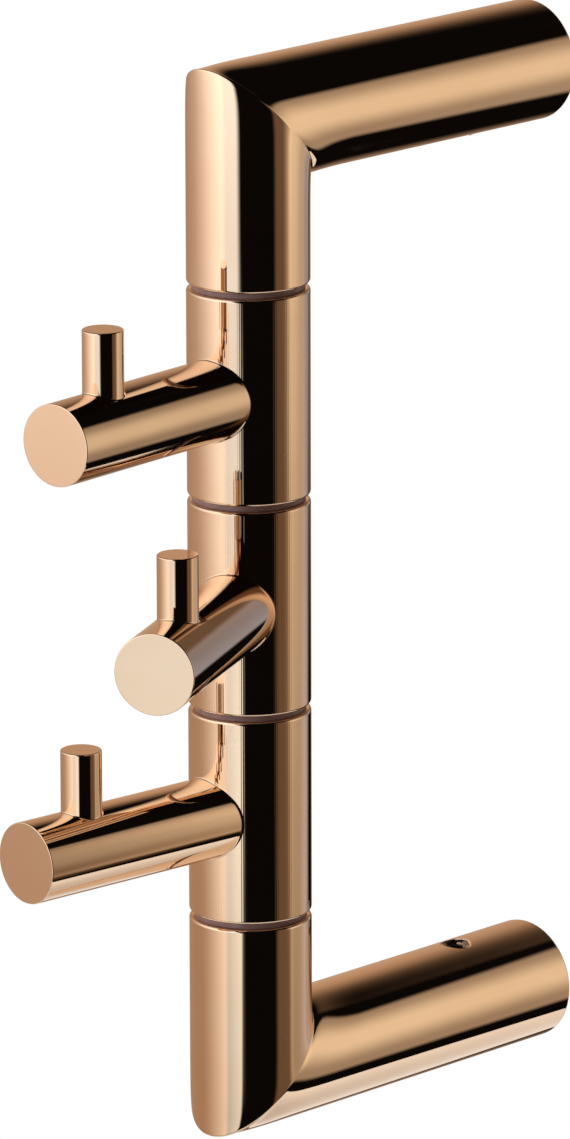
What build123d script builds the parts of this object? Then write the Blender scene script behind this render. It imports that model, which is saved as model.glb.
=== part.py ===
from build123d import *
import os
from math import cos, radians, sin

# A wall rail with three swivelling towel hooks, in millimetres. The wall is the plane y = 0
# and the rail stands out towards -Y. The origin lies on the wall, midway between the fixings.

# Rail: two mitred elbows from the wall to the stack of hooks
RAIL_DIAMETER = 24.0
RAIL_BORE = 15.0
WALL_REACH = 80.0  # from the wall to the hooks' pivot axis
ELBOW_LEG = 31.4  # from a post's axis to the elbow's end at the hooks
WALL_END_ROUND = 0.5

# Hooks, from the top down, with the direction in which each one stands at rest
HOOK_ANGLES = {"upper": 4.6, "middle": 26.0, "lower": -4.5}  # degrees from straight out
HOOK_PITCH = 42.0
JOINT_ROUND = 0.6  # on the tube ends that face a washer
SLEEVE_BORE = 17.0
ARM_DIAMETER = 16.0
ARM_REACH = 57.0  # from the pivot axis to the end of the arm
ARM_END_ROUND = 0.4
SPIGOT_DIAMETER = 9.0  # locates the arm in the sleeve's wall
SPIGOT_SETBACK = 0.5  # keeps the spigot out of the sleeve's bore
PEG_DIAMETER = 8.0
PEG_FROM_END = 14.0  # from the arm's end to the peg's axis
PEG_HEIGHT = 12.0  # above the top of the arm
PEG_SEAT = 5.0  # depth pressed into the arm
PEG_END_ROUND = 0.4
PEG_LEAD = 0.5

# Pivot: a fixed spindle, with a bush at each end of every sleeve and washers between
SPINDLE_DIAMETER = 10.0
SPINDLE_SCREW = 8.0  # threaded ends
SPINDLE_SCREW_LENGTH = 14.0
ANCHOR_SPARE = 2.0  # thread left in the elbow's insert past the spindle's tip
SCREW_LEAD = 0.8
BUSH_LENGTH = 12.0
BUSH_LEAD = 0.4
RUNNING_GAP = 0.05  # radial, between a bush and the spindle
WASHER_THICKNESS = 1.2
WASHER_RECESS = 1.0  # radial step below the rail's surface
WASHER_GAP = 0.2  # radial, around the spindle

# Wall fixing: a boss screwed to the wall inside each post, held by a grub screw
BOSS_PAST_GRUB = 9.0  # from the grub screw's axis to the boss's nose
BOSS_GAP = 0.1  # radial, inside the post
BOSS_LEAD = 1.0
WALL_SCREW_HOLE = 5.0
WALL_SCREW_HEAD = 10.0
GRUB_FROM_WALL = 21.0
GRUB_DIAMETER = 6.0
GRUB_LENGTH = 5.0
GRUB_KEY = 3.0  # across the flats of the socket
GRUB_KEY_DEPTH = 2.5
GRUB_LEAD = 0.5
GROOVE_DEPTH = 1.5  # round the boss, where the grub screw bites
GROOVE_PLAY = 0.5  # on each side of the grub screw
SCREW_GAP = 0.05  # radial, between a screw and its threaded hole

RAIL_RADIUS = RAIL_DIAMETER / 2
ARM_RADIUS = ARM_DIAMETER / 2
PEG_REACH = ARM_REACH - PEG_FROM_END
BOSS_RADIUS = RAIL_BORE / 2 - BOSS_GAP
BOSS_LENGTH = GRUB_FROM_WALL + BOSS_PAST_GRUB
GROOVE_RADIUS = BOSS_RADIUS - GROOVE_DEPTH
STACK_END = len(HOOK_ANGLES) * HOOK_PITCH / 2  # height of the outermost washers
STUB_END = STACK_END + WASHER_THICKNESS / 2  # height of the elbows' ends at the hooks
POST_HEIGHT = STUB_END + ELBOW_LEG  # of the posts' axes above and below the origin
SLEEVE_LENGTH = HOOK_PITCH - WASHER_THICKNESS
ANCHOR_LENGTH = SPINDLE_SCREW_LENGTH + ANCHOR_SPARE

UP = (0, 0, 1)
OUT = (0, -1, 0)
PIVOT_FOOT = (0, -WALL_REACH, 0)
PIVOT = Plane(origin=PIVOT_FOOT)


def save(piece, name):
    """Label a finished piece and write it to its own file."""
    piece.part.label = name
    export_step(piece.part, f"parts/{name}.step")


def post_plane(side):
    """Plane on the wall at a post, facing out of the wall; side is 1 above and -1 below."""
    return Plane(origin=(0, 0, side * POST_HEIGHT), x_dir=(1, 0, 0), z_dir=OUT)


def grub_plane(side):
    """Plane on a post's axis at its grub screw, facing the hooks."""
    centre = (0, -GRUB_FROM_WALL, side * POST_HEIGHT)
    return Plane(origin=centre, x_dir=(1, 0, 0), z_dir=(0, 0, -side))


def make_elbow(side):
    """Tube that leaves the wall and turns towards the hooks in one mitred corner."""
    towards_hooks = Axis((0, 0, 0), (0, 0, -side))
    with BuildPart() as elbow:
        with BuildLine() as route:
            Polyline(
                (0, 0, side * POST_HEIGHT),
                (0, -WALL_REACH, side * POST_HEIGHT),
                (0, -WALL_REACH, side * STUB_END),
            )
        with BuildSketch(post_plane(side)):
            Circle(RAIL_RADIUS)
            Circle(RAIL_BORE / 2, mode=Mode.SUBTRACT)
        sweep(path=route.line, transition=Transition.RIGHT)
        wall_end = elbow.faces().sort_by(Axis.Y)[-1]
        fillet(wall_end.outer_wire().edges(), WALL_END_ROUND)
        hook_end = elbow.faces().sort_by(towards_hooks)[-1]
        fillet(hook_end.outer_wire().edges(), JOINT_ROUND)
        with BuildSketch(grub_plane(side)):
            Circle(GRUB_DIAMETER / 2 + SCREW_GAP)
        extrude(amount=RAIL_DIAMETER, mode=Mode.SUBTRACT)
    return elbow


def make_anchor(side):
    """Threaded insert brazed into the end of an elbow, flush with it."""
    with BuildPart() as anchor:
        with BuildSketch(PIVOT.offset(side * STUB_END)):
            Circle(RAIL_BORE / 2)
            Circle(SPINDLE_SCREW / 2 + SCREW_GAP, mode=Mode.SUBTRACT)
        extrude(amount=side * ANCHOR_LENGTH)
    return anchor


def make_spindle():
    """Rod that joins the two elbows and carries the hooks."""
    with BuildPart() as spindle:
        with BuildSketch(PIVOT):
            Circle(SPINDLE_DIAMETER / 2)
        extrude(amount=STUB_END, both=True)
        with BuildSketch(PIVOT):
            Circle(SPINDLE_SCREW / 2)
        extrude(amount=STUB_END + SPINDLE_SCREW_LENGTH, both=True)
        ends = spindle.faces().sort_by(Axis.Z)
        chamfer(ends[0].edges() + ends[-1].edges(), SCREW_LEAD)
    return spindle


def make_washer(height):
    """Thin thrust washer, set back from the rail's surface."""
    with BuildPart() as washer:
        with BuildSketch(PIVOT.offset(height)):
            Circle(RAIL_RADIUS - WASHER_RECESS)
            Circle(SPINDLE_DIAMETER / 2 + WASHER_GAP, mode=Mode.SUBTRACT)
        extrude(amount=WASHER_THICKNESS / 2, both=True)
    return washer


def make_boss(side):
    """Turned boss that a countersunk screw holds to the wall inside a post."""
    post = post_plane(side)
    with BuildPart() as boss:
        with BuildSketch(post):
            Circle(BOSS_RADIUS)
        extrude(amount=BOSS_LENGTH)
        nose = boss.faces().sort_by(Axis.Y)[0]
        chamfer(nose.edges(), BOSS_LEAD)
        with Locations(post.offset(BOSS_LENGTH)):
            CounterSinkHole(WALL_SCREW_HOLE / 2, WALL_SCREW_HEAD / 2, counter_sink_angle=90)
        with BuildSketch(post.offset(GRUB_FROM_WALL)):
            Circle(RAIL_RADIUS)
            Circle(GROOVE_RADIUS, mode=Mode.SUBTRACT)
        extrude(amount=GRUB_DIAMETER / 2 + GROOVE_PLAY, both=True, mode=Mode.SUBTRACT)
    return boss


def make_grub(side):
    """Headless screw through the post's wall, with its tip in the boss's groove."""
    tip = grub_plane(side).offset(GROOVE_RADIUS)
    with BuildPart() as grub:
        with BuildSketch(tip):
            Circle(GRUB_DIAMETER / 2)
        extrude(amount=GRUB_LENGTH)
        chamfer(grub.edges().filter_by(GeomType.CIRCLE), GRUB_LEAD)
        with BuildSketch(tip.offset(GRUB_LENGTH)):
            RegularPolygon(GRUB_KEY / 2, side_count=6, major_radius=False)
        extrude(amount=-GRUB_KEY_DEPTH, mode=Mode.SUBTRACT)
    return grub


class HookPlanes:
    """Planes of one hook, which meet on the pivot axis at the arm's height."""

    def __init__(self, height, angle):
        centre = (0, -WALL_REACH, height)
        along_arm = (sin(radians(angle)), -cos(radians(angle)), 0)
        self.level = Plane(origin=centre, x_dir=along_arm, z_dir=UP)
        self.across_arm = Plane(origin=centre, x_dir=UP, z_dir=along_arm)
        self.arm_axis = Axis(centre, along_arm)


def make_sleeve(planes):
    """Turning tube of one hook, with a hole in its wall for the arm's spigot."""
    with BuildPart() as sleeve:
        with BuildSketch(planes.level):
            Circle(RAIL_RADIUS)
            Circle(SLEEVE_BORE / 2, mode=Mode.SUBTRACT)
        extrude(amount=SLEEVE_LENGTH / 2, both=True)
        ends = sleeve.faces().sort_by(Axis.Z)
        rims = ends[0].outer_wire().edges() + ends[-1].outer_wire().edges()
        fillet(rims, JOINT_ROUND)
        with BuildSketch(planes.across_arm):
            Circle(SPIGOT_DIAMETER / 2)
        extrude(amount=RAIL_DIAMETER, mode=Mode.SUBTRACT)
    return sleeve


def make_arm(planes):
    """Round arm coped to sit on the sleeve, with a spigot behind and a seat for the peg."""
    spigot_start = SLEEVE_BORE / 2 + SPIGOT_SETBACK
    with BuildPart() as arm:
        with BuildSketch(planes.across_arm):
            Circle(ARM_RADIUS)
        extrude(amount=ARM_REACH)
        with BuildSketch(planes.level):
            Circle(RAIL_RADIUS)
        extrude(amount=ARM_DIAMETER, both=True, mode=Mode.SUBTRACT)
        with BuildSketch(planes.across_arm.offset(spigot_start)):
            Circle(SPIGOT_DIAMETER / 2)
        extrude(amount=RAIL_RADIUS)
        arm_end = arm.faces().sort_by(planes.arm_axis)[-1]
        fillet(arm_end.edges(), ARM_END_ROUND)
        with Locations(planes.level.offset(ARM_RADIUS)):
            with Locations((PEG_REACH, 0)):
                Hole(PEG_DIAMETER / 2, depth=PEG_SEAT)
    return arm


def make_peg(planes):
    """Upright pin that keeps a towel on the arm."""
    foot = planes.level.offset(ARM_RADIUS - PEG_SEAT)
    with BuildPart() as peg:
        with BuildSketch(foot):
            with Locations((PEG_REACH, 0)):
                Circle(PEG_DIAMETER / 2)
        extrude(amount=PEG_SEAT + PEG_HEIGHT)
        ends = peg.faces().sort_by(Axis.Z)
        chamfer(ends[0].edges(), PEG_LEAD)
        fillet(ends[-1].edges(), PEG_END_ROUND)
    return peg


def make_bush(planes, side):
    """Plain bearing pressed into one end of a sleeve; side is 1 above the arm, -1 below."""
    with BuildPart() as bush:
        with BuildSketch(planes.level.offset(side * SLEEVE_LENGTH / 2)):
            Circle(SLEEVE_BORE / 2)
            Circle(SPINDLE_DIAMETER / 2 + RUNNING_GAP, mode=Mode.SUBTRACT)
        extrude(amount=-side * BUSH_LENGTH)
        inner_end = bush.faces().sort_by(Axis((0, 0, 0), (0, 0, -side)))[-1]
        chamfer(inner_end.outer_wire().edges(), BUSH_LEAD)
    return bush


os.makedirs("parts", exist_ok=True)

for place, side in (("upper", 1), ("lower", -1)):
    save(make_elbow(side), f"{place}_elbow")
    save(make_anchor(side), f"{place}_anchor")
    save(make_boss(side), f"{place}_wall_boss")
    save(make_grub(side), f"{place}_grub_screw")

save(make_spindle(), "spindle")

for number in range(len(HOOK_ANGLES) + 1):
    save(make_washer(STACK_END - number * HOOK_PITCH), f"washer_{number + 1}")

for row, (place, angle) in enumerate(HOOK_ANGLES.items()):
    planes = HookPlanes(STACK_END - (row + 0.5) * HOOK_PITCH, angle)
    save(make_sleeve(planes), f"{place}_sleeve")
    save(make_arm(planes), f"{place}_arm")
    save(make_peg(planes), f"{place}_peg")
    save(make_bush(planes, 1), f"{place}_hook_top_bush")
    save(make_bush(planes, -1), f"{place}_hook_bottom_bush")
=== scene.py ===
"""Detailed model of a wall rail with three swivelling towel hooks, built round its CAD frame.

The rail is polished rose gold. Two mitred elbows hold a stack of three turning sleeves, each with a
round arm and an upright peg. Lengths are in metres, in the frame's own axes: the wall is the plane
y = 0, the rail stands out towards -Y, and the hooks turn about an upright pivot.
"""

from math import atan2, cos, exp, pi, radians, sin, sqrt

import bmesh
import bpy
from mathutils import Matrix, Vector


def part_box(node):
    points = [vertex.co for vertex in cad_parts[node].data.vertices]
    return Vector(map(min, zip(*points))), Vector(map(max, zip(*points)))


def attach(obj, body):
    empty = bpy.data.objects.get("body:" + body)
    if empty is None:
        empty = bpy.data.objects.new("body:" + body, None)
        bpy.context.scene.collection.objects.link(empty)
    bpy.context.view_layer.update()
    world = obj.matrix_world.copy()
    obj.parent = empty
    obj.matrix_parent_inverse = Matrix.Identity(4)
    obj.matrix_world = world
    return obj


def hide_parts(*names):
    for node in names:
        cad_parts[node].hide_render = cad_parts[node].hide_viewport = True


bl_info = {
    "name": "Towel Hook Rail",
    "version": (1, 0, 0),
    "blender": (4, 5, 0),
    "location": "View3D > Sidebar > Towel Rail",
    "description": "Polished rail with three swivelling towel hooks, and the studio round it",
    "category": "Add Mesh",
}

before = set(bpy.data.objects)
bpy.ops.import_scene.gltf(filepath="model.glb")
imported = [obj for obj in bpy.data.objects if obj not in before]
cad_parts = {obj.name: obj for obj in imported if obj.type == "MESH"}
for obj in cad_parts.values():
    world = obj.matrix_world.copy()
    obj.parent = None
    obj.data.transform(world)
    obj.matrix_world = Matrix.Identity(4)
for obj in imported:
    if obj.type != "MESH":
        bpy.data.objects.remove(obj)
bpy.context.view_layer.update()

HOOKS = ("upper", "middle", "lower")
ARM_SHADE_AND_HAZE = {"upper": 0.16, "middle": 0.06, "lower": 0.0}  # painted shade, with a little haze, on the side of each arm
ELBOWS = {"upper": 1, "lower": -1}
WASHER_COUNT = 4

MM = 0.001
UP = Vector((0, 0, 1))
ROUND_STEPS = 192  # sides of a tube
SMALL_STEPS = 80  # sides of a screw hole
SCREW_STEPS = 48  # sides of a grub screw
STAGE_STEPS = 96  # sides of the tent and the floor
CREASE = radians(28)  # an edge that turns more than this stays sharp
NEAR = 0.002 * MM  # points closer than this are one
UNDER = 0.03 * MM  # how far a hidden end lies inside the surface it stands on
HOLE_FLOOR = 0.3 * MM  # metal left between a screw hole and the post's bore
WAVE_SHARES = (0.3, 0.55, 0.9, 1.3, 1.8, 2.5, 3.4, 4.5, 6.0)  # of the mitre's fade
CORNER_SPARED = 0.6  # share of the wear that the mitre's outer corner is spared

TENT_CENTRE = Vector((0, -60 * MM, 0))
TENT_BEARING = radians(1.7)  # how far the tent is turned from the camera's bearing
DARK_CLOTH = (0.004, 0.0033, 0.0034)  # what the tent shows between its panels
FLOOR_TONES = ((0.86, 0.855, 0.85), (0.84, 0.835, 0.83))
FLOOR_FADE = (0.4, 0.9)  # shares of the floor's radius where its rim turns white
LAMP_WATTS = 12


def length(name, description, default):
    """Property that holds a length in metres."""
    return bpy.props.FloatProperty(
        name=name,
        description=description,
        default=default,
        min=0,
        precision=5,
        subtype="DISTANCE",
        unit="LENGTH",
    )


def colour(name, description, default):
    """Property that holds a linear colour."""
    return bpy.props.FloatVectorProperty(
        name=name,
        description=description,
        default=default,
        size=3,
        min=0,
        max=1,
        subtype="COLOR",
    )


def tilt(name, description, default):
    """Property that holds an angle, its default given in degrees."""
    return bpy.props.FloatProperty(
        name=name,
        description=description,
        default=radians(default),
        subtype="ANGLE",
        unit="ROTATION",
    )


class RailSizes(bpy.types.PropertyGroup):
    """Sizes of the fixed rail."""

    diameter: length("Diameter", "Outside diameter of the rail's tube", 24 * MM)
    bore: length("Bore", "Inside diameter of the elbows", 15 * MM)
    wall_reach: length("Wall reach", "From the wall to the hooks' pivot axis", 80 * MM)
    post_height: length("Post height", "Of a post's axis from the middle", 95 * MM)
    stub_end: length("Stub end", "Height of the elbows' ends at the hooks", 63.6 * MM)
    wall_end_round: length("Wall end round", "Rounding of the rim at the wall", 0.5 * MM)
    joint_round: length("Joint round", "Rounding of a rim next to a washer", 0.6 * MM)
    mitre_round: length("Mitre round", "Polished-off edge of the mitre", 0.22 * MM)
    mitre_polish: length("Mitre polish", "How deep polishing has worn the mitre", 0.55 * MM)
    mitre_fade: length("Mitre fade", "How far from the mitre that wear reaches", 2.2 * MM)
    mitre_hollow: bpy.props.FloatProperty(
        name="Mitre hollow",
        description="How fast the wear deepens on the post, away from the mitre",
        default=2.4,
        min=0,
    )
    washer_diameter: length("Washer", "Outside diameter of the washers", 22 * MM)
    washer_bore: length("Washer bore", "Inside diameter of the washers", 10.4 * MM)
    washer_thickness: length("Washer thickness", "Thickness of a washer", 1.2 * MM)
    washer_round: length("Washer round", "Rounding of a washer's rim", 0.12 * MM)


class HookSizes(bpy.types.PropertyGroup):
    """Sizes of one swivelling hook."""

    sleeve_length: length("Sleeve length", "Length of a turning sleeve", 40.8 * MM)
    sleeve_bore: length("Sleeve bore", "Inside diameter of a sleeve", 17 * MM)
    arm_diameter: length("Arm diameter", "Diameter of the arm", 16 * MM)
    arm_reach: length("Arm reach", "From the pivot axis to the arm's end", 57 * MM)
    arm_round: length("Arm round", "Rounding of the arm's rim", 0.2 * MM)
    arm_fillet: length("Arm fillet", "Fillet where the arm meets the sleeve", 0.3 * MM)
    spigot_diameter: length("Spigot diameter", "Pin behind the arm", 9 * MM)
    spigot_start: length("Spigot start", "From the pivot axis to the spigot", 9 * MM)
    peg_diameter: length("Peg diameter", "Diameter of the peg", 8 * MM)
    peg_reach: length("Peg reach", "From the pivot axis to the peg's axis", 43 * MM)
    peg_height: length("Peg height", "Above the top of the arm", 12 * MM)
    peg_seat: length("Peg seat", "Depth of the peg in the arm", 5 * MM)
    peg_round: length("Peg round", "Rounding of the peg's rim", 0.3 * MM)
    peg_fillet: length("Peg fillet", "Fillet where the peg meets the arm", 0.25 * MM)
    peg_lead: length("Peg lead", "Chamfer of the peg's hidden end", 0.5 * MM)


class FixingSizes(bpy.types.PropertyGroup):
    """Sizes of the wall fixing inside each post."""

    boss_diameter: length("Boss diameter", "Diameter of the wall boss", 14.8 * MM)
    boss_length: length("Boss length", "Length of the wall boss", 30 * MM)
    boss_lead: length("Boss lead", "Chamfer of the boss's nose", 1 * MM)
    screw_hole: length("Screw hole", "Hole for the wall screw", 5 * MM)
    screw_head: length("Screw head", "Countersink for the wall screw", 10 * MM)
    grub_from_wall: length("Grub from wall", "From the wall to the grub screw", 21 * MM)
    grub_diameter: length("Grub diameter", "Diameter of the grub screw", 6 * MM)
    grub_length: length("Grub length", "Length of the grub screw", 5 * MM)
    grub_lead: length("Grub lead", "Chamfer of the grub screw", 0.5 * MM)
    key: length("Key", "Socket's width across its flats", 3 * MM)
    key_depth: length("Key depth", "Depth of the socket", 2.5 * MM)
    groove_diameter: length("Groove", "Bottom of the boss's groove", 11.8 * MM)
    groove_width: length("Groove width", "Width of the boss's groove", 7 * MM)
    hole_chamfer: length("Hole chamfer", "Chamfer of the screw hole", 0.2 * MM)
    thread_pitch: length("Thread pitch", "Pitch of the screw hole's thread", 1 * MM)
    thread_depth: length("Thread depth", "Depth of the screw hole's thread", 0.5 * MM)


class FinishColours(bpy.types.PropertyGroup):
    """Colours of the finishes."""

    gold: colour("Rose gold", "Polished plating", (0.84, 0.62, 0.44))
    gold_warm: colour("Warm rose gold", "Plating where it is a little redder", (0.82, 0.59, 0.41))
    brass: colour("Brass", "Turned brass that isn't plated", (0.72, 0.53, 0.25))
    brass_dull: colour("Dull brass", "Tarnish on turned brass", (0.42, 0.29, 0.13))
    steel: colour("Steel", "Bright steel of the spindle", (0.48, 0.47, 0.46))
    steel_dull: colour("Dull steel", "Oiled steel", (0.27, 0.26, 0.26))
    washer: colour("Washer", "Dark washers between the sleeves", (0.3, 0.165, 0.15))
    washer_worn: colour("Worn washer", "Paler rubbed places of a washer", (0.36, 0.21, 0.19))
    screw: colour("Screw", "Blackened steel of the grub screws", (0.16, 0.13, 0.14))
    screw_dull: colour("Dull screw", "Oily steel of the grub screws", (0.1, 0.085, 0.09))
    bush: colour("Bush", "Plain bearings in the sleeves", (0.78, 0.75, 0.69))
    bush_worn: colour("Worn bush", "Rubbed places of a bearing", (0.52, 0.49, 0.45))
    dust: colour("Dust", "Specks of dust", (0.75, 0.7, 0.66))


class StudioSettings(bpy.types.PropertyGroup):
    """The camera's place and the studio's sizes."""

    yaw: tilt("Yaw", "Direction in which the camera looks, from +Y towards +X", -44.16)
    pitch: tilt("Pitch", "How far the camera looks down", 14.97)
    roll: tilt("Roll", "Turn of the camera about its own line of sight", -0.15)
    distance: length("Distance", "From the camera to the hooks' pivot", 1769.7 * MM)
    aside: bpy.props.FloatVectorProperty(
        name="Aside",
        description="Where the pivot's middle stands in the view, right and up",
        default=(-6.91 * MM, -5.85 * MM),
        size=2,
        subtype="XYZ",
        unit="LENGTH",
    )
    lens: bpy.props.FloatProperty(
        name="Lens",
        description="Focal length in millimetres on a 36 mm sensor",
        default=288.1,
        min=1,
    )
    tent_radius: length("Tent radius", "Of the tent of light panels", 0.8)
    tent_height: length("Tent height", "Of the tent above and below the middle", 1.2)
    floor_height: bpy.props.FloatProperty(
        name="Floor height",
        description="Height of the floor",
        default=-0.7,
        subtype="DISTANCE",
        unit="LENGTH",
    )
    floor_radius: length("Floor radius", "Radius of the floor", 0.78)


def feed(tree, socket, value):
    """Link a socket to the given one, or set it to the given number."""
    if isinstance(value, bpy.types.NodeSocket):
        tree.links.new(value, socket)
    else:
        socket.default_value = value


def maths(tree, operation, *values):
    """Add a Math node on numbers or sockets and return its result."""
    node = tree.nodes.new("ShaderNodeMath")
    node.operation = operation
    for socket, value in zip(node.inputs, values):
        feed(tree, socket, value)
    return node.outputs["Value"]


def vector_maths(tree, operation, *values):
    """Add a Vector Math node and return its vector."""
    node = tree.nodes.new("ShaderNodeVectorMath")
    node.operation = operation
    for socket, value in zip(node.inputs, values):
        feed(tree, socket, value)
    return node.outputs["Vector"]


def ramp(tree, value, start, end, low=0.0, high=1.0):
    """Map a value smoothly from start..end to low..high and return the result."""
    node = tree.nodes.new("ShaderNodeMapRange")
    node.interpolation_type = "SMOOTHSTEP"
    feed(tree, node.inputs["Value"], value)
    feed(tree, node.inputs["From Min"], start)
    feed(tree, node.inputs["From Max"], end)
    feed(tree, node.inputs["To Min"], low)
    feed(tree, node.inputs["To Max"], high)
    return node.outputs["Result"]


def blend_colours(tree, share, first, second):
    """Mix two colours and return the result."""
    node = tree.nodes.new("ShaderNodeMix")
    node.data_type = "RGBA"
    feed(tree, node.inputs["Factor"], share)
    feed(tree, node.inputs["A"], first)
    feed(tree, node.inputs["B"], second)
    return node.outputs["Result"]


def noise(tree, coordinates, scale, detail):
    """Add a Noise texture and return its value."""
    node = tree.nodes.new("ShaderNodeTexNoise")
    feed(tree, node.inputs["Vector"], coordinates)
    feed(tree, node.inputs["Scale"], scale)
    feed(tree, node.inputs["Detail"], detail)
    return node.outputs["Fac"]


def new_group(name, inputs, outputs):
    """Make a shader node group; return its tree, its inputs by name and its output node."""
    tree = bpy.data.node_groups.new(name, "ShaderNodeTree")
    for label, kind, default in inputs:
        socket = tree.interface.new_socket(name=label, in_out="INPUT", socket_type=kind)
        if default is not None:
            socket.default_value = default
    for label, kind in outputs:
        tree.interface.new_socket(name=label, in_out="OUTPUT", socket_type=kind)
    given = tree.nodes.new("NodeGroupInput").outputs
    return tree, given, tree.nodes.new("NodeGroupOutput").inputs


def place_group(tree, group, **values):
    """Put a group into a tree, fed by socket name with spaces as underscores."""
    node = tree.nodes.new("ShaderNodeGroup")
    node.node_tree = group
    for label, value in values.items():
        feed(tree, node.inputs[label.replace("_", " ")], value)
    return node.outputs


def tone_drift_group():
    """Slow change between two tones over a surface."""
    name = "Tone drift"
    if name in bpy.data.node_groups:
        return bpy.data.node_groups[name]
    tree, given, result = new_group(
        name,
        [
            ("Coordinates", "NodeSocketVector", None),
            ("Scale", "NodeSocketFloat", 40.0),
            ("First tone", "NodeSocketColor", (1, 1, 1, 1)),
            ("Second tone", "NodeSocketColor", (0, 0, 0, 1)),
        ],
        [("Colour", "NodeSocketColor"), ("Share", "NodeSocketFloat")],
    )
    cloud = noise(tree, given["Coordinates"], given["Scale"], 3.0)
    share = ramp(tree, cloud, 0.32, 0.68)
    mixed = blend_colours(tree, share, given["First tone"], given["Second tone"])
    tree.links.new(mixed, result["Colour"])
    tree.links.new(share, result["Share"])
    return tree


def fine_lines_group():
    """Short fine lines, as polishing or turning leaves them."""
    name = "Fine lines"
    if name in bpy.data.node_groups:
        return bpy.data.node_groups[name]
    tree, given, result = new_group(
        name,
        [
            ("Coordinates", "NodeSocketVector", None),
            ("Stretch", "NodeSocketVector", (1.0, 1.0, 1.0)),
            ("Scale", "NodeSocketFloat", 60.0),
            ("Threshold", "NodeSocketFloat", 0.6),
        ],
        [("Mask", "NodeSocketFloat"), ("Height", "NodeSocketFloat")],
    )
    stretched = vector_maths(tree, "MULTIPLY", given["Coordinates"], given["Stretch"])
    streaks = noise(tree, stretched, given["Scale"], 2.0)
    above = maths(tree, "ADD", given["Threshold"], 0.12)
    mask = ramp(tree, streaks, given["Threshold"], above)
    tree.links.new(mask, result["Mask"])
    tree.links.new(streaks, result["Height"])
    return tree


def dust_specks_group():
    """Tiny specks scattered over a surface."""
    name = "Dust specks"
    if name in bpy.data.node_groups:
        return bpy.data.node_groups[name]
    tree, given, result = new_group(
        name,
        [
            ("Coordinates", "NodeSocketVector", None),
            ("Scale", "NodeSocketFloat", 150.0),
            ("Size", "NodeSocketFloat", 0.02),
            ("Share", "NodeSocketFloat", 0.3),
        ],
        [("Mask", "NodeSocketFloat")],
    )
    cells = tree.nodes.new("ShaderNodeTexVoronoi")
    feed(tree, cells.inputs["Vector"], given["Coordinates"])
    feed(tree, cells.inputs["Scale"], given["Scale"])
    rim = maths(tree, "MULTIPLY", given["Size"], 0.4)
    speck = ramp(tree, cells.outputs["Distance"], given["Size"], rim)
    channels = tree.nodes.new("ShaderNodeSeparateColor")
    feed(tree, channels.inputs["Color"], cells.outputs["Color"])
    chosen = maths(tree, "LESS_THAN", channels.outputs["Red"], given["Share"])
    tree.links.new(maths(tree, "MULTIPLY", speck, chosen), result["Mask"])
    return tree


def new_material(name):
    """Make a material; return it, its node tree, its shader and the Object coordinates."""
    material = bpy.data.materials.new(name)
    material.use_nodes = True
    tree = material.node_tree
    shader = tree.nodes["Principled BSDF"]
    coordinates = tree.nodes.new("ShaderNodeTexCoord").outputs["Object"]
    return material, tree, shader, coordinates


def opaque(rgb):
    """A property's colour with an alpha of 1."""
    return (*rgb, 1.0)


def bump(tree, shader, height, distance):
    """Feed a height into the shader's normal."""
    node = tree.nodes.new("ShaderNodeBump")
    node.inputs["Distance"].default_value = distance
    tree.links.new(height, node.inputs["Height"])
    tree.links.new(node.outputs["Normal"], shader.inputs["Normal"])


def tones(tree, coordinates, scale, first, second):
    """Let a surface drift between two colours; return the group's outputs."""
    return place_group(
        tree,
        tone_drift_group(),
        Coordinates=coordinates,
        Scale=scale,
        First_tone=opaque(first),
        Second_tone=opaque(second),
    )


def dusted(tree, coordinates, plain, scale, size, share):
    """Put specks of dust on a colour; return the new colour and the specks."""
    specks = place_group(
        tree,
        dust_specks_group(),
        Coordinates=coordinates,
        Scale=scale,
        Size=size,
        Share=share,
    )["Mask"]
    dust = opaque(bpy.context.scene.finish_colours.dust)
    return blend_colours(tree, specks, plain, dust), specks


def rose_gold(shade_and_haze=0.0):
    """Polished rose-gold plating with a little dust and hairline polishing marks.

    The given share darkens the colour, a painted shade, and roughens the reflections a little.
    """
    name = f"polished_rose_gold_{round(100 * shade_and_haze):02d}"
    if name in bpy.data.materials:
        return bpy.data.materials[name]
    colours = bpy.context.scene.finish_colours
    # Painted shade: the colour is darkened by the given share.
    gold = [(1 - shade_and_haze) * channel for channel in colours.gold]
    gold_warm = [(1 - shade_and_haze) * channel for channel in colours.gold_warm]
    material, tree, shader, coordinates = new_material(name)
    drift = tones(tree, coordinates, 45.0, gold, gold_warm)
    lines = place_group(
        tree,
        fine_lines_group(),
        Coordinates=coordinates,
        Stretch=(1.0, 1.0, 0.3),
        Scale=1500.0,
        Threshold=0.72,
    )
    dusty, specks = dusted(tree, coordinates, drift["Colour"], 170.0, 0.022, 0.3)
    tree.links.new(dusty, shader.inputs["Base Color"])
    tree.links.new(ramp(tree, specks, 0.0, 1.0, 1.0, 0.4), shader.inputs["Metallic"])
    marked = ramp(tree, lines["Mask"], 0.0, 1.0, 0.035, 0.05)
    rough = maths(tree, "ADD", marked, maths(tree, "MULTIPLY", specks, 0.5))
    rough = maths(tree, "ADD", rough, 0.1 * shade_and_haze)
    tree.links.new(rough, shader.inputs["Roughness"])
    ripple = noise(tree, coordinates, 70.0, 1.0)
    bump(tree, shader, ripple, 0.012 * MM)
    return material


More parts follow.
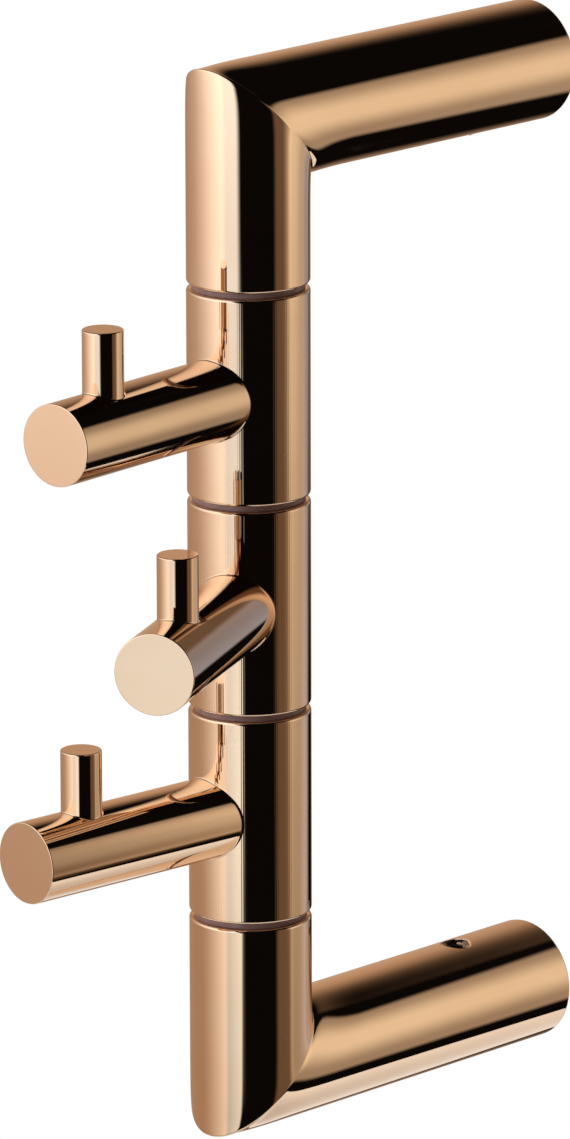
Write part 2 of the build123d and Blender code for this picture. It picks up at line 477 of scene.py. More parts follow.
def turned_metal(name, bright, dull, roughness):
    """Bare turned metal with tool marks and dull patches."""
    if name in bpy.data.materials:
        return bpy.data.materials[name]
    material, tree, shader, coordinates = new_material(name)
    drift = tones(tree, coordinates, 220.0, bright, dull)
    lines = place_group(
        tree,
        fine_lines_group(),
        Coordinates=coordinates,
        Stretch=(0.15, 1.0, 1.0),
        Scale=3500.0,
        Threshold=0.5,
    )
    shader.inputs["Metallic"].default_value = 1.0
    tree.links.new(drift["Colour"], shader.inputs["Base Color"])
    worn = ramp(tree, drift["Share"], 0.0, 1.0, roughness, roughness + 0.15)
    rough = maths(tree, "ADD", worn, maths(tree, "MULTIPLY", lines["Mask"], 0.08))
    tree.links.new(rough, shader.inputs["Roughness"])
    bump(tree, shader, lines["Height"], 0.01 * MM)
    return material


def moulded_plastic(name, plain, rubbed, roughness):
    """Matt bearing plastic with a fine grain and rubbed places."""
    if name in bpy.data.materials:
        return bpy.data.materials[name]
    material, tree, shader, coordinates = new_material(name)
    drift = tones(tree, coordinates, 420.0, plain, rubbed)
    dusty, _ = dusted(tree, coordinates, drift["Colour"], 500.0, 0.05, 0.2)
    tree.links.new(dusty, shader.inputs["Base Color"])
    worn = ramp(tree, drift["Share"], 0.0, 1.0, roughness + 0.1, roughness)
    tree.links.new(worn, shader.inputs["Roughness"])
    grain = noise(tree, coordinates, 4000.0, 2.0)
    bump(tree, shader, grain, 0.02 * MM)
    return material


def brass():
    """Turned brass of the bosses and anchors."""
    colours = bpy.context.scene.finish_colours
    return turned_metal("turned_brass", colours.brass, colours.brass_dull, 0.2)


def steel():
    """Steel of the spindle."""
    colours = bpy.context.scene.finish_colours
    return turned_metal("bright_steel", colours.steel, colours.steel_dull, 0.22)


def blackened_steel():
    """Blackened steel of the grub screws."""
    colours = bpy.context.scene.finish_colours
    return turned_metal("blackened_steel", colours.screw, colours.screw_dull, 0.3)


def edges_where(bm, test):
    """The edges whose two points both pass a test on their place."""
    return [edge for edge in bm.edges if all(test(point.co) for point in edge.verts)]


def round_edges(bm, edges, width, segments):
    """Round edges off by the given width."""
    bmesh.ops.bevel(
        bm,
        geom=edges,
        offset=width,
        offset_type="OFFSET",
        segments=segments,
        profile=0.5,
        affect="EDGES",
        material=-1,
    )


def new_ring(bm, radius, steps, place):
    """Add a circle of edges and return them."""
    points = bmesh.ops.create_circle(
        bm, cap_ends=False, radius=radius, segments=steps, matrix=place
    )["verts"]
    return list(dict.fromkeys(edge for point in points for edge in point.link_edges))


def grow(bm, ring, place):
    """Extrude a ring of edges, put each new point where place says and return the new ring."""
    grown = bmesh.ops.extrude_edge_only(bm, edges=ring)["geom"]
    points = {part for part in grown if isinstance(part, bmesh.types.BMVert)}
    for point in points:
        point.co = place(point.co)
    edges = [part for part in grown if isinstance(part, bmesh.types.BMEdge)]
    return [edge for edge in edges if all(point in points for point in edge.verts)]


def close(bm, ring):
    """Fill a ring of edges with a face."""
    bmesh.ops.edgeloop_fill(bm, edges=ring)


def lathe(bm, outline, steps):
    """Spin a closed outline of (radius, height) points once round the upright axis."""
    corners = [bm.verts.new((radius, 0, height)) for radius, height in outline]
    sides = [bm.edges.new((corners[i - 1], corners[i])) for i in range(len(corners))]
    bmesh.ops.spin(
        bm,
        geom=corners + sides,
        cent=(0, 0, 0),
        axis=UP,
        dvec=(0, 0, 0),
        angle=2 * pi,
        steps=steps,
        use_merge=True,
    )


def saddle(radius, across):
    """Height of a lying cylinder's surface at a distance across from its axis."""
    return sqrt(radius * radius - across * across)


def fillet_rings(radius, fillet, steps):
    """Radii of a fillet's rings, each with its distance off the surface it runs out on."""
    turns = [step / steps * pi / 2 for step in range(steps + 1)]
    return [(radius + fillet * (1 - cos(turn)), fillet * (1 - sin(turn))) for turn in turns]


def add_piece(bm, name, material, body, node, second=None):
    """Finish a mesh as a piece that stands for a CAD node and rides on the node's body.

    The second material goes on the faces marked with material index 1.
    """
    bmesh.ops.remove_doubles(bm, verts=bm.verts, dist=NEAR)
    bmesh.ops.recalc_face_normals(bm, faces=bm.faces)
    for face in bm.faces:
        face.smooth = True
    for edge in bm.edges:
        edge.smooth = edge.calc_face_angle(pi) < CREASE
    mesh = bpy.data.meshes.new(name)
    bm.to_mesh(mesh)
    bm.free()
    mesh.materials.append(material)
    if second:
        mesh.materials.append(second)
    piece = bpy.data.objects.new(name, mesh)
    bpy.context.scene.collection.objects.link(piece)
    shading = piece.modifiers.new("Even shading", "WEIGHTED_NORMAL")
    shading.mode = "FACE_AREA"
    shading.keep_sharp = True
    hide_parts(node)
    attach(piece, body)
    return piece


def hook_place(hook):
    """Matrix from a hook's own axes to the frame: x along its arm, z up, origin on the pivot."""
    rail = bpy.context.scene.rail_sizes
    peg_low, peg_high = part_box(f"{hook}_peg")
    sleeve_low, sleeve_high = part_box(f"{hook}_sleeve")
    pivot = Vector((0, -rail.wall_reach, (sleeve_low.z + sleeve_high.z) / 2))
    arm = (peg_low + peg_high) / 2 - pivot
    return Matrix.Translation(pivot) @ Matrix.Rotation(atan2(arm.y, arm.x), 4, "Z")


def elbow_skin(bm, radius, rows=(), waves=()):
    """Shell of an elbow at one radius; returns its rings at the wall, the mitre and the hooks.

    Rows are cuts across the post, at distances from the wall. Waves are cuts on both sides of the
    mitre, at distances from it, where polishing has worn the skin a little, and has hollowed the
    post next to the mitre.
    """
    rail = bpy.context.scene.rail_sizes
    height = rail.post_height
    reach = rail.wall_reach

    def skin(angle, distance, hollow=0.0):
        if not waves:
            return radius
        outer = cos(angle)
        depth = rail.mitre_polish * outer * (1 - CORNER_SPARED * outer**2)
        away = distance / rail.mitre_fade
        return radius - depth * (1 + hollow * away) * exp(-away)

    def on_post(co, distance):
        angle = atan2(co.x, co.z - height)
        out = skin(angle, distance, rail.mitre_hollow)
        y = distance - reach - radius * cos(angle)
        return Vector((out * sin(angle), y, height + out * cos(angle)))

    def on_mitre(co):
        angle = atan2(co.x, co.z - height)
        out = skin(angle, 0)
        return Vector((out * sin(angle), -reach - out * cos(angle), height + out * cos(angle)))

    def on_stub(co, distance):
        angle = atan2(co.x, -co.y - reach)
        out = skin(angle, distance)
        z = height + radius * cos(angle) - distance
        return Vector((out * sin(angle), -reach - out * cos(angle), z))

    def at_hooks(co):
        angle = atan2(co.x, -co.y - reach)
        return Vector((radius * sin(angle), -reach - radius * cos(angle), rail.stub_end))

    axis = Matrix.Translation((0, 0, height)) @ Matrix.Rotation(pi / 2, 4, "X")
    wall_ring = new_ring(bm, radius, ROUND_STEPS, axis)
    ring = wall_ring
    for distance in rows:
        ring = grow(bm, ring, lambda co: Vector((co.x, -distance, co.z)))
    for distance in reversed(waves):
        ring = grow(bm, ring, lambda co: on_post(co, distance))
    mitre_ring = grow(bm, ring, on_mitre)
    ring = mitre_ring
    for distance in waves:
        ring = grow(bm, ring, lambda co: on_stub(co, distance))
    return wall_ring, mitre_ring, grow(bm, ring, at_hooks)


def cut_grub_hole(bm, row_step, half_rows):
    """Open the threaded hole in a post's wall, on the side of the hooks."""
    rail = bpy.context.scene.rail_sizes
    fixing = bpy.context.scene.fixing_sizes
    radius = rail.diameter / 2
    height = rail.post_height
    hole = fixing.grub_diameter / 2
    half_angle = half_rows * 2 * pi / ROUND_STEPS

    def in_patch(co, slack):
        along = abs(-co.y - fixing.grub_from_wall)
        around = abs(atan2(co.x, height - co.z))
        return along < half_rows * row_step + slack and around < half_angle + slack / radius

    def on_skin(co):
        return Vector((co.x, co.y, height - saddle(radius, co.x)))

    patch = [face for face in bm.faces if in_patch(face.calc_center_median(), 0)]
    bmesh.ops.delete(bm, geom=patch, context="FACES")
    border = [edge for edge in edges_where(bm, lambda co: in_patch(co, NEAR)) if edge.is_boundary]
    centre = Matrix.Translation((0, -fixing.grub_from_wall, height))
    mouth = new_ring(bm, hole + fixing.hole_chamfer, SMALL_STEPS, centre)
    for edge in mouth:
        for point in edge.verts:
            point.co = on_skin(point.co)
    web = bmesh.ops.bridge_loops(bm, edges=border + mouth)["edges"]
    cut = bmesh.ops.subdivide_edges(bm, edges=web, cuts=5, use_grid_fill=True)["geom_inner"]
    for part in cut:
        if isinstance(part, bmesh.types.BMVert):
            part.co = on_skin(part.co)

    def below(co, spread, depth):
        flat = Vector((co.x, co.y + fixing.grub_from_wall, 0)).normalized() * spread
        flat.y -= fixing.grub_from_wall
        return on_skin(flat) + UP * depth

    ring = grow(bm, mouth, lambda co: below(co, hole, fixing.hole_chamfer))
    floor = height - rail.bore / 2 - HOLE_FLOOR
    ring = grow(bm, ring, lambda co: Vector((co.x, co.y, floor)))
    close(bm, ring)


def cut_thread(bm, side):
    """Ridge of the screw thread inside a post's hole."""
    rail = bpy.context.scene.rail_sizes
    fixing = bpy.context.scene.fixing_sizes
    hole = fixing.grub_diameter / 2
    turns = 2.5
    steps_a_turn = 36
    below_rim = 0.6 * MM
    root = hole + 0.05 * MM
    start = rail.post_height - rail.diameter / 2 + below_rim
    half_width = 0.42 * fixing.thread_pitch
    corners = [
        bm.verts.new((spread, -fixing.grub_from_wall, start + rise))
        for spread, rise in (
            (root, -half_width),
            (hole - fixing.thread_depth, 0),
            (root, half_width),
        )
    ]
    first = bm.faces.new(corners)
    last = bmesh.ops.spin(
        bm,
        geom=list(first.edges) + list(first.verts),
        cent=(0, -fixing.grub_from_wall, 0),
        axis=UP,
        dvec=(0, 0, fixing.thread_pitch / steps_a_turn),
        angle=side * turns * 2 * pi,
        steps=int(turns * steps_a_turn),
    )["geom_last"]
    close(bm, [part for part in last if isinstance(part, bmesh.types.BMEdge)])


class TOWEL_OT_mitred_elbows(bpy.types.Operator):
    """Make the two mitred elbows, each with its threaded screw hole."""

    bl_idname = "towel.mitred_elbows"
    bl_label = "Mitred Elbows"

    def execute(self, context):
        rail = context.scene.rail_sizes
        fixing = context.scene.fixing_sizes
        radius = rail.diameter / 2
        row_step = 2 * pi * radius / ROUND_STEPS
        half_rows = SMALL_STEPS // 8
        rows = [
            fixing.grub_from_wall + row * row_step for row in range(-half_rows, half_rows + 1)
        ]
        waves = [share * rail.mitre_fade for share in WAVE_SHARES]
        for place, side in ELBOWS.items():
            bm = bmesh.new()
            wall_rim, mitre, hook_rim = elbow_skin(bm, radius, rows, waves)
            cut_grub_hole(bm, row_step, half_rows)
            bore_wall, _, bore_hook = elbow_skin(bm, rail.bore / 2)
            bmesh.ops.bridge_loops(bm, edges=wall_rim + bore_wall)
            bmesh.ops.bridge_loops(bm, edges=hook_rim + bore_hook)
            round_edges(bm, mitre, rail.mitre_round, 4)
            round_edges(bm, wall_rim, rail.wall_end_round, 4)
            round_edges(bm, hook_rim, rail.joint_round, 6)
            cut_thread(bm, side)
            bmesh.ops.scale(bm, vec=(1, 1, side), verts=bm.verts)
            add_piece(
                bm, f"{place}_elbow_tube", rose_gold(), "rail", f"{place}_elbow"
            )
        return {"FINISHED"}


class TOWEL_OT_sleeves(bpy.types.Operator):
    """Make the three turning sleeves."""

    bl_idname = "towel.sleeves"
    bl_label = "Sleeves"

    def execute(self, context):
        rail = context.scene.rail_sizes
        hook = context.scene.hook_sizes
        radius = rail.diameter / 2
        inside = hook.sleeve_bore / 2
        half = hook.sleeve_length / 2
        outline = ((inside, -half), (radius, -half), (radius, half), (inside, half))
        for place in HOOKS:
            bm = bmesh.new()
            lathe(bm, outline, ROUND_STEPS)
            rims = edges_where(
                bm, lambda co: abs(co.z) > half - NEAR and co.xy.length > radius - NEAR
            )
            round_edges(bm, rims, rail.joint_round, 6)
            bm.transform(hook_place(place))
            add_piece(
                bm,
                f"{place}_sleeve_tube",
                rose_gold(),
                f"{place}_hook",
                f"{place}_sleeve",
            )
        return {"FINISHED"}


class TOWEL_OT_arms(bpy.types.Operator):
    """Make the three arms, coped to their sleeves with a small fillet."""

    bl_idname = "towel.arms"
    bl_label = "Arms"

    def execute(self, context):
        rail = context.scene.rail_sizes
        hook = context.scene.hook_sizes
        radius = hook.arm_diameter / 2
        tube = rail.diameter / 2
        spigot = hook.spigot_diameter / 2

        def coped(co, spread, off):
            flat = Vector((0, co.y, co.z)).normalized() * spread
            flat.x = saddle(tube, flat.y) + off
            return flat

        for place in HOOKS:
            bm = bmesh.new()
            end = Matrix.Translation((hook.arm_reach, 0, 0)) @ Matrix.Rotation(pi / 2, 4, "Y")
            rim = new_ring(bm, radius, ROUND_STEPS, end)
            close(bm, rim)
            ring = rim
            for spread, off in fillet_rings(radius, hook.arm_fillet, 6):
                ring = grow(bm, ring, lambda co: coped(co, spread, off))
            for share in (0, 0.35, 0.7, 1):
                spread = radius + share * (spigot - radius)
                ring = grow(bm, ring, lambda co: coped(co, spread, -UNDER))
            ring = grow(bm, ring, lambda co: Vector((hook.spigot_start, co.y, co.z)))
            close(bm, ring)
            round_edges(bm, rim, hook.arm_round, 5)
            # The arm's side takes the second material, the gold darkened as a painted shade.
            side_end = hook.arm_reach - hook.arm_round - NEAR
            for face in bm.faces:
                face.material_index = int(face.calc_center_median().x < side_end)
            bm.transform(hook_place(place))
            add_piece(
                bm,
                f"{place}_arm_bar",
                rose_gold(),
                f"{place}_hook",
                f"{place}_arm",
                rose_gold(ARM_SHADE_AND_HAZE[place]),
            )
        return {"FINISHED"}


class TOWEL_OT_pegs(bpy.types.Operator):
    """Make the three upright pegs, each seated in its arm."""

    bl_idname = "towel.pegs"
    bl_label = "Pegs"

    def execute(self, context):
        hook = context.scene.hook_sizes
        radius = hook.peg_diameter / 2
        arm = hook.arm_diameter / 2
        axis = Vector((hook.peg_reach, 0, 0))

        def footed(co, spread, off):
            flat = Vector((co.x - axis.x, co.y, 0)).normalized() * spread
            flat.z = saddle(arm, flat.y) + off
            return axis + flat

        def levelled(co, spread, height):
            flat = Vector((co.x - axis.x, co.y, 0)).normalized() * spread
            return axis + flat + UP * height

        for place in HOOKS:
            bm = bmesh.new()
            top = Matrix.Translation(axis + UP * (arm + hook.peg_height))
            rim = new_ring(bm, radius, ROUND_STEPS, top)
            close(bm, rim)
            ring = rim
            for spread, off in fillet_rings(radius, hook.peg_fillet, 5):
                ring = grow(bm, ring, lambda co: footed(co, spread, off))
            ring = grow(bm, ring, lambda co: footed(co, spread, -UNDER))
            ring = grow(bm, ring, lambda co: footed(co, radius, -UNDER))
            seat = arm - hook.peg_seat
            ring = grow(bm, ring, lambda co: levelled(co, radius, seat + hook.peg_lead))
            ring = grow(bm, ring, lambda co: levelled(co, radius - hook.peg_lead, seat))
            close(bm, ring)
            round_edges(bm, rim, hook.peg_round, 5)
            bm.transform(hook_place(place))
            add_piece(
                bm,
                f"{place}_peg_pin",
                rose_gold(),
                f"{place}_hook",
                f"{place}_peg",
            )
        return {"FINISHED"}


class TOWEL_OT_washers(bpy.types.Operator):
    """Make the four thin washers between the sleeves and the elbows."""

    bl_idname = "towel.washers"
    bl_label = "Washers"

    def execute(self, context):
        rail = context.scene.rail_sizes
        colours = context.scene.finish_colours
        outside = rail.washer_diameter / 2
        inside = rail.washer_bore / 2
        half = rail.washer_thickness / 2
        outline = ((inside, -half), (outside, -half), (outside, half), (inside, half))
        for number in range(1, WASHER_COUNT + 1):
            low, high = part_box(f"washer_{number}")
            bm = bmesh.new()
            lathe(bm, outline, ROUND_STEPS)
            rims = edges_where(bm, lambda co: co.xy.length > outside - NEAR)
            rims = [edge for edge in rims if abs(edge.verts[0].co.z - edge.verts[1].co.z) < NEAR]
            round_edges(bm, rims, rail.washer_round, 3)
            bm.transform(Matrix.Translation((0, -rail.wall_reach, (low.z + high.z) / 2)))
            plastic = moulded_plastic("dark_washer", colours.washer, colours.washer_worn, 0.35)
            add_piece(
                bm, f"thrust_washer_{number}", plastic, "rail", f"washer_{number}"
            )
        return {"FINISHED"}


class TOWEL_OT_wall_bosses(bpy.types.Operator):
    """Make the two turned bosses that the posts slide over at the wall."""

    bl_idname = "towel.wall_bosses"
    bl_label = "Wall Bosses"

    def execute(self, context):
        rail = context.scene.rail_sizes
        fixing = context.scene.fixing_sizes
        outside = fixing.boss_diameter / 2
        groove = fixing.groove_diameter / 2
        hole = fixing.screw_hole / 2
        head = fixing.screw_head / 2
        nose = fixing.boss_length
        foot_round = 0.3 * MM
        low = fixing.grub_from_wall - fixing.groove_width / 2
        high = fixing.grub_from_wall + fixing.groove_width / 2
        outline = (
            (hole, 0),
            (outside, 0),
            (outside, low),
            (groove, low),
            (groove, high),
            (outside, high),
            (outside, nose - fixing.boss_lead),
            (outside - fixing.boss_lead, nose),
            (head, nose),
            (hole, nose - (head - hole)),
        )
        for place, side in ELBOWS.items():
            bm = bmesh.new()
            lathe(bm, outline, ROUND_STEPS)
            foot = edges_where(
                bm, lambda co: co.z < NEAR and co.xy.length > outside - NEAR
            )
            round_edges(bm, foot, foot_round, 2)
            axis = Matrix.Translation((0, 0, side * rail.post_height))
            bm.transform(axis @ Matrix.Rotation(pi / 2, 4, "X"))
            add_piece(
                bm, f"{place}_boss_turned", brass(), "rail", f"{place}_wall_boss"
            )
        return {"FINISHED"}


class TOWEL_OT_grub_screws(bpy.types.Operator):
    """Make the two headless screws with a hexagon socket."""

    bl_idname = "towel.grub_screws"
    bl_label = "Grub Screws"

    def execute(self, context):
        rail = context.scene.rail_sizes
        fixing = context.scene.fixing_sizes
        radius = fixing.grub_diameter / 2
        tip = fixing.groove_diameter / 2
        top = tip + fixing.grub_length
        lead = fixing.grub_lead

        def turned(co, spread, height):
            return Vector((co.x, co.y, 0)).normalized() * spread + UP * height

        for place, side in ELBOWS.items():
            bm = bmesh.new()
            level = Matrix.Translation((0, 0, top))
            socket = new_ring(bm, fixing.key / 2 / cos(pi / 6), 6, level)
            cuts = SCREW_STEPS // 6 - 1
            bmesh.ops.subdivide_edges(bm, edges=socket, cuts=cuts)
            socket = list(bm.edges)
            rim = new_ring(bm, radius - lead, SCREW_STEPS, level)
            bmesh.ops.bridge_loops(bm, edges=socket + rim)
            ring = grow(bm, rim, lambda co: turned(co, radius, top - lead))
            ring = grow(bm, ring, lambda co: turned(co, radius, tip + lead))
            ring = grow(bm, ring, lambda co: turned(co, radius - lead, tip))
            close(bm, ring)
            close(bm, grow(bm, socket, lambda co: Vector((co.x, co.y, top - fixing.key_depth))))
            axis = Matrix.Translation((0, -fixing.grub_from_wall, side * rail.post_height))
            bm.transform(axis @ Matrix.Rotation(pi if side > 0 else 0, 4, "X"))
            add_piece(
                bm,
                f"{place}_grub_socket",
                blackened_steel(),
                "rail",
                f"{place}_grub_screw",
            )
        return {"FINISHED"}


class TOWEL_OT_hidden_parts(bpy.types.Operator):
    """Give the spindle, anchors and bushes inside the rail their finishes."""

    bl_idname = "towel.hidden_parts"
    bl_label = "Hidden Parts"

    def execute(self, context):
        colours = context.scene.finish_colours
        plastic = moulded_plastic("bearing_bush", colours.bush, colours.bush_worn, 0.35)
        finishes = {"spindle": steel(), "upper_anchor": brass(), "lower_anchor": brass()}
        for hook in HOOKS:
            finishes[f"{hook}_hook_top_bush"] = plastic
            finishes[f"{hook}_hook_bottom_bush"] = plastic
        for name, material in finishes.items():
            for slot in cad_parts[name].material_slots:
                slot.material = material
        return {"FINISHED"}


def light_panel_group():
    """One soft-edged panel of light on the tent, added to what lies behind it."""
    tree, given, result = new_group(
        "Light panel",
        [
            ("Behind", "NodeSocketColor", (0, 0, 0, 1)),
            ("Around", "NodeSocketFloat", 0.0),
            ("Height", "NodeSocketFloat", 0.0),
            ("Middle", "NodeSocketFloat", 0.0),
            ("Half width", "NodeSocketFloat", 30.0),
            ("Left softness", "NodeSocketFloat", 8.0),
            ("Right softness", "NodeSocketFloat", 8.0),
            ("Bottom", "NodeSocketFloat", -0.5),
            ("Top", "NodeSocketFloat", 0.5),
            ("Bottom softness", "NodeSocketFloat", 0.1),
            ("Top softness", "NodeSocketFloat", 0.1),
            ("Lean", "NodeSocketFloat", 0.0),
            ("Light", "NodeSocketColor", (1, 1, 1, 1)),
        ],
        [("Colour", "NodeSocketColor")],
    )

    def soft_edge(value, edge, softness, rising):
        half = maths(tree, "MULTIPLY", softness, 0.5)
        before = maths(tree, "SUBTRACT", edge, half)
        after = maths(tree, "ADD", edge, half)
        return ramp(tree, value, before, after, 1 - rising, rising)

    leaning = maths(tree, "MULTIPLY", given["Lean"], given["Height"])
    middle = maths(tree, "ADD", given["Middle"], leaning)
    offset = maths(tree, "SUBTRACT", given["Around"], middle)
    offset = maths(tree, "WRAP", offset, 180.0, -180.0)
    left = maths(tree, "MULTIPLY", given["Half width"], -1.0)
    sides = (
        soft_edge(offset, left, given["Left softness"], 1),
        soft_edge(offset, given["Half width"], given["Right softness"], 0),
        soft_edge(given["Height"], given["Bottom"], given["Bottom softness"], 1),
        soft_edge(given["Height"], given["Top"], given["Top softness"], 0),
    )
    share = sides[0]
    for side in sides[1:]:
        share = maths(tree, "MULTIPLY", share, side)
    added = tree.nodes.new("ShaderNodeMix")
    added.data_type = "RGBA"
    added.blend_type = "ADD"
    feed(tree, added.inputs["Factor"], share)
    feed(tree, added.inputs["A"], given["Behind"])
    feed(tree, added.inputs["B"], given["Light"])
    tree.links.new(added.outputs["Result"], result["Colour"])
    return tree


class LightTent:
    """Material of the tent: soft panels of light round the rail, by bearing from the camera."""

    def __init__(self, bearing):
        material = bpy.data.materials.new("light_tent")
        material.use_nodes = True
        self.material = material
        self.tree = material.node_tree
        self.panel = light_panel_group()
        place = self.tree.nodes.new("ShaderNodeTexCoord").outputs["Object"]
        turn = self.tree.nodes.new("ShaderNodeMapping")
        turn.vector_type = "TEXTURE"
        turn.inputs["Location"].default_value = TENT_CENTRE
        turn.inputs["Rotation"].default_value = (0, 0, bearing)
        self.tree.links.new(place, turn.inputs["Vector"])
        parts = self.tree.nodes.new("ShaderNodeSeparateXYZ")
        self.tree.links.new(turn.outputs["Vector"], parts.inputs["Vector"])
        around = maths(self.tree, "ARCTAN2", parts.outputs["Y"], parts.outputs["X"])
        self.around = maths(self.tree, "DEGREES", around)
        self.height = parts.outputs["Z"]
        self.sum = opaque(DARK_CLOTH)

    def add(self, start, end, bottom, top, light, sides=(12, 12), rims=(0.1, 0.1), lean=0):
        """Add a panel between two bearings in degrees and two heights in metres."""
        self.sum = place_group(
            self.tree,
            self.panel,
            Behind=self.sum,
            Around=self.around,
            Height=self.height,
            Middle=(start + end) / 2,
            Half_width=(end - start) / 2,
            Left_softness=sides[0],
            Right_softness=sides[1],
            Bottom=bottom,
            Top=top,
            Bottom_softness=rims[0],
            Top_softness=rims[1],
            Lean=lean,
            Light=opaque(light),
        )["Colour"]

    def finish(self):
        """Feed the sum of the panels into the shader."""
        shader = self.tree.nodes["Principled BSDF"]
        shader.inputs["Base Color"].default_value = (0, 0, 0, 1)
        shader.inputs["Specular IOR Level"].default_value = 0
        shader.inputs["Roughness"].default_value = 1
        shader.inputs["Emission Strength"].default_value = 1
        self.tree.links.new(self.sum, shader.inputs["Emission Color"])
        return self.material


def light_tent():
    """The tent's material with all its panels."""
    tent = LightTent(bpy.context.scene.studio_settings.yaw - TENT_BEARING)
    # Tall soft box on the left, its edge at the camera's side crisp and its far side fading out.
    tent.add(-80, -20, -0.2, 1.2, (1.3, 1.4, 1.5), sides=(80, 10), rims=(0.4, 0.2), lean=-20)
    # White card further round on the left.
    tent.add(-130, -80, 0.0, 0.8, (0.6, 0.65, 0.7), sides=(60, 60), rims=(0.8, 0.4))
    # Low box on the left, with a large warm card beyond it.
    tent.add(-40, -10, -0.6, -0.2, (1.1, 1.2, 1.2), sides=(120, 5), rims=(0.1, 0.2), lean=20)
    tent.add(-190, -45, -0.8, 0.5, (0.45, 0.3, 0.2), sides=(30, 10), rims=(0.6, 0.6))
    # Soft box on the right: a card at its near side, its cloth, and the lamp behind the cloth.
    tent.add(50, 85, -0.6, 0.4, (0.16, 0.1, 0.06), sides=(10, 10), rims=(0.2, 0.1))
    tent.add(80, 130, -0.5, 0.5, (0.4, 0.32, 0.24), sides=(10, 20), rims=(0.1, 0.1))
    tent.add(75, 110, -0.2, 0.3, (0.55, 0.5, 0.4), sides=(20, 40), rims=(0.4, 0.4))
    # Grey card past the right box.
    tent.add(130, 150, -0.4, 0.2, (0.36, 0.37, 0.45), sides=(40, 5), rims=(0.3, 0.1), lean=40)
    # Dim warm card behind the rail.
    tent.add(140, 190, -0.2, 0.6, (0.17, 0.11, 0.07), rims=(0.1, 0.4), lean=-20)
    return tent.finish()


def pale_floor():
    """Pale floor that keeps its shadow and fades into the white background at its rim."""
    studio = bpy.context.scene.studio_settings
    material, tree, shader, coordinates = new_material("pale_floor")
    drift = tones(tree, coordinates, 3.0, *FLOOR_TONES)
    tree.links.new(drift["Colour"], shader.inputs["Base Color"])
    shader.inputs["Roughness"].default_value = 0.8
    offset = tree.nodes.new("ShaderNodeVectorMath")
    offset.operation = "LENGTH"
    flat = vector_maths(tree, "MULTIPLY", coordinates, (1, 1, 0))
    tree.links.new(flat, offset.inputs[0])
    start, end = (share * studio.floor_radius for share in FLOOR_FADE)
    rim = ramp(tree, offset.outputs["Value"], start, end)
    path = tree.nodes.new("ShaderNodeLightPath").outputs
    mirrored = maths(tree, "MAXIMUM", path["Is Glossy Ray"], path["Is Transmission Ray"])
    seen = maths(tree, "MAXIMUM", path["Is Camera Ray"], mirrored)
    white = tree.nodes.new("ShaderNodeEmission")
    mixed = tree.nodes.new("ShaderNodeMixShader")
    tree.links.new(maths(tree, "MULTIPLY", rim, seen), mixed.inputs["Fac"])
    tree.links.new(shader.outputs["BSDF"], mixed.inputs[1])
    tree.links.new(white.outputs["Emission"], mixed.inputs[2])
    output = tree.nodes["Material Output"]
    tree.links.new(mixed.outputs["Shader"], output.inputs["Surface"])
    return material


def add_stage(bm, name, material):
    """Make a stage object of a mesh."""
    for face in bm.faces:
        face.smooth = len(face.verts) == 4
    mesh = bpy.data.meshes.new(name)
    bm.to_mesh(mesh)
    bm.free()
    mesh.materials.append(material)
    thing = bpy.data.objects.new(name, mesh)
    bpy.context.scene.collection.objects.link(thing)
    return thing


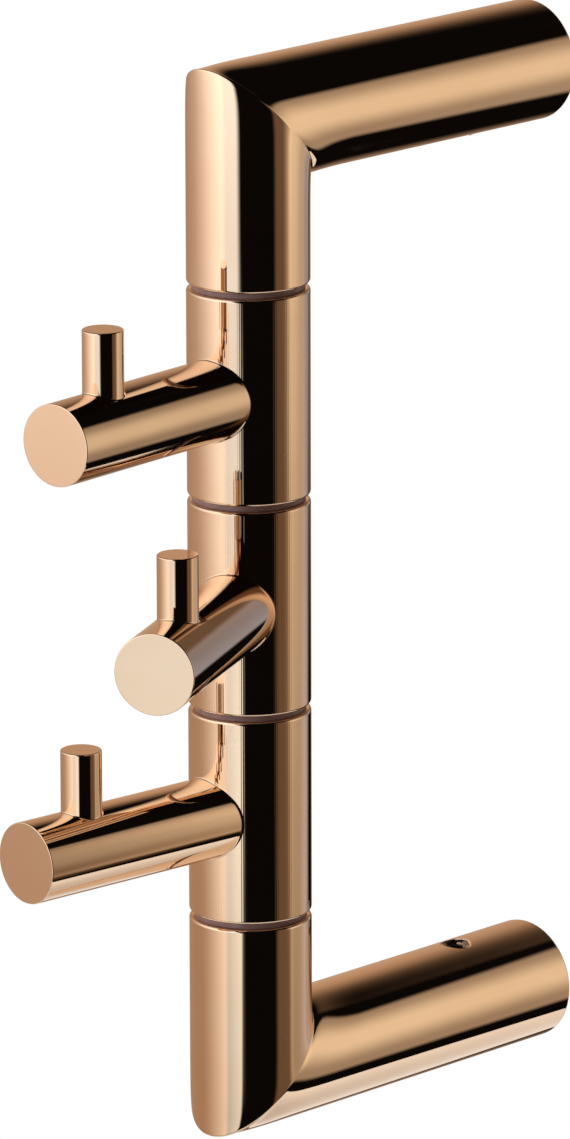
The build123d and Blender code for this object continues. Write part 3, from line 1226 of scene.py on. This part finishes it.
class TOWEL_OT_studio(bpy.types.Operator):
    """Make the floor, the light tent, the lamp and the camera."""

    bl_idname = "towel.studio"
    bl_label = "Studio"

    def execute(self, context):
        scene = context.scene
        studio = scene.studio_settings
        rail = scene.rail_sizes

        bm = bmesh.new()
        bmesh.ops.create_cone(
            bm,
            cap_ends=True,
            segments=STAGE_STEPS,
            radius1=studio.tent_radius,
            radius2=studio.tent_radius,
            depth=2 * studio.tent_height,
            matrix=Matrix.Translation(TENT_CENTRE),
        )
        bmesh.ops.reverse_faces(bm, faces=bm.faces)
        tent = add_stage(bm, "light_tent", light_tent())
        tent.visible_camera = False

        bm = bmesh.new()
        bmesh.ops.create_circle(
            bm,
            cap_ends=True,
            segments=STAGE_STEPS,
            radius=studio.floor_radius,
            matrix=Matrix.Translation(TENT_CENTRE + UP * studio.floor_height),
        )
        add_stage(bm, "floor", pale_floor())

        lamp = bpy.data.lights.new("soft_top_light", "AREA")
        lamp.shape = "DISK"
        lamp.size = studio.tent_radius
        lamp.energy = LAMP_WATTS
        hung = bpy.data.objects.new("soft_top_light", lamp)
        hung.location = TENT_CENTRE + UP * studio.tent_radius
        hung.visible_camera = False
        hung.visible_glossy = False
        scene.collection.objects.link(hung)

        world = bpy.data.worlds.new("white_background")
        world.use_nodes = True
        background = world.node_tree.nodes["Background"]
        background.inputs["Color"].default_value = (1, 1, 1, 1)
        background.inputs["Strength"].default_value = 1
        scene.world = world
        scene.view_settings.view_transform = "Standard"

        lens = bpy.data.cameras.new("camera")
        lens.lens = studio.lens
        camera = bpy.data.objects.new("camera", lens)
        scene.collection.objects.link(camera)
        turn = Matrix.Rotation(-studio.yaw, 3, "Z")
        turn = turn @ Matrix.Rotation(pi / 2 - studio.pitch, 3, "X")
        turn = turn @ Matrix.Rotation(studio.roll, 3, "Z")
        aside = Vector((*studio.aside, -studio.distance))
        pivot = Vector((0, -rail.wall_reach, 0))
        camera.matrix_world = Matrix.Translation(pivot - turn @ aside) @ turn.to_4x4()
        scene.camera = camera
        return {"FINISHED"}


class TOWEL_PT_parts(bpy.types.Panel):
    """Lists the steps that build the towel rail."""

    bl_idname = "TOWEL_PT_parts"
    bl_label = "Towel Rail"
    bl_space_type = "VIEW_3D"
    bl_region_type = "UI"
    bl_category = "Towel Rail"

    def draw(self, context):
        for operator in OPERATORS:
            self.layout.operator(operator.bl_idname)


OPERATORS = (
    TOWEL_OT_mitred_elbows,
    TOWEL_OT_sleeves,
    TOWEL_OT_arms,
    TOWEL_OT_pegs,
    TOWEL_OT_washers,
    TOWEL_OT_wall_bosses,
    TOWEL_OT_grub_screws,
    TOWEL_OT_hidden_parts,
    TOWEL_OT_studio,
)
SETTINGS = {
    "rail_sizes": RailSizes,
    "hook_sizes": HookSizes,
    "fixing_sizes": FixingSizes,
    "finish_colours": FinishColours,
    "studio_settings": StudioSettings,
}


def register():
    for settings in SETTINGS.values():
        bpy.utils.register_class(settings)
    for operator in OPERATORS:
        bpy.utils.register_class(operator)
    bpy.utils.register_class(TOWEL_PT_parts)
    for name, settings in SETTINGS.items():
        setattr(bpy.types.Scene, name, bpy.props.PointerProperty(type=settings))


def unregister():
    for name in SETTINGS:
        delattr(bpy.types.Scene, name)
    bpy.utils.unregister_class(TOWEL_PT_parts)
    for operator in reversed(OPERATORS):
        bpy.utils.unregister_class(operator)
    for settings in reversed(SETTINGS.values()):
        bpy.utils.unregister_class(settings)


def main():
    """Build everything."""
    register()
    bpy.ops.towel.mitred_elbows()
    bpy.ops.towel.sleeves()
    bpy.ops.towel.arms()
    bpy.ops.towel.pegs()
    bpy.ops.towel.washers()
    bpy.ops.towel.wall_bosses()
    bpy.ops.towel.grub_screws()
    bpy.ops.towel.hidden_parts()
    bpy.ops.towel.studio()


if __name__ == "__main__":
    main()
